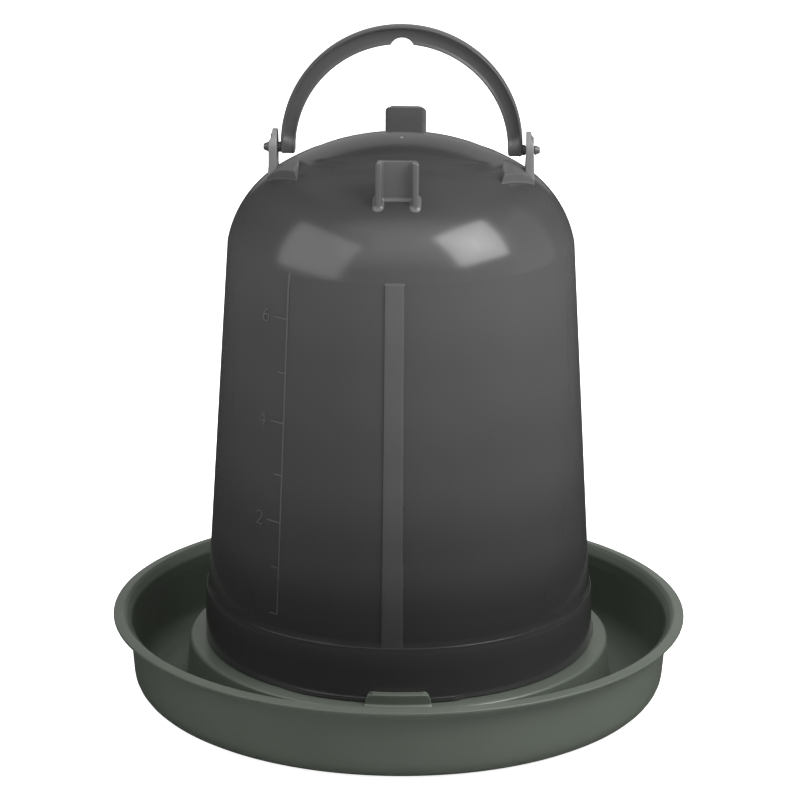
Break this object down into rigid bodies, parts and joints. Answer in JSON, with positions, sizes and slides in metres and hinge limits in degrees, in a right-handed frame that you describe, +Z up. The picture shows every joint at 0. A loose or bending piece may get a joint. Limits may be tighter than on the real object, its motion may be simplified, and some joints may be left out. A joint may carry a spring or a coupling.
{
  "type": "poultry waterer fount",
  "caption": "Gravity poultry drinker: tapered fount with a swinging carrying handle, twist-locked into a round drinking tray with a flared rim.",
  "frame": {"origin": "on the fount's axis, at the plane that the tray rests on", "axes": "+Z up along the fount's axis, -Y to the front (the side of the raised strip), +X to the right"},
  "size_m": [0.34, 0.34, 0.3994],
  "materials": {
    "tray_plastic": "green-grey moulded polypropylene, satin gloss",
    "fount_plastic": "dark grey translucent moulded polypropylene, glossy",
    "handle_plastic": "mid grey moulded polypropylene, satin"
  },
  "bodies": {
    "tray": {"tray_pan": "tray_plastic", "lock_tab_front": "tray_plastic", "lock_tab_rear_right": "tray_plastic", "lock_tab_rear_left": "tray_plastic"},
    "fount": {"fount_shell": "fount_plastic", "bayonet_flange_front": "fount_plastic", "bayonet_flange_rear_right": "fount_plastic", "bayonet_flange_rear_left": "fount_plastic", "foot_lug_front": "fount_plastic", "foot_lug_rear": "fount_plastic", "handle_ear_right": "fount_plastic", "handle_ear_left": "fount_plastic"},
    "handle": {"handle_bow": "handle_plastic", "handle_pin_right": "handle_plastic", "handle_pin_left": "handle_plastic"}
  },
  "joints": [
    {"name": "fount_twist", "type": "hinge", "parent": "tray", "child": "fount", "pos_m": [0, 0, 0.0316], "axis": [0, 0, 1], "range_deg": [-32, 0]},
    {"name": "handle_swing", "type": "hinge", "parent": "fount", "child": "handle", "pos_m": [0, 0, 0.3273], "axis": [0.9995, -0.0332, 0], "range_deg": [-78, 78]}
  ]
}
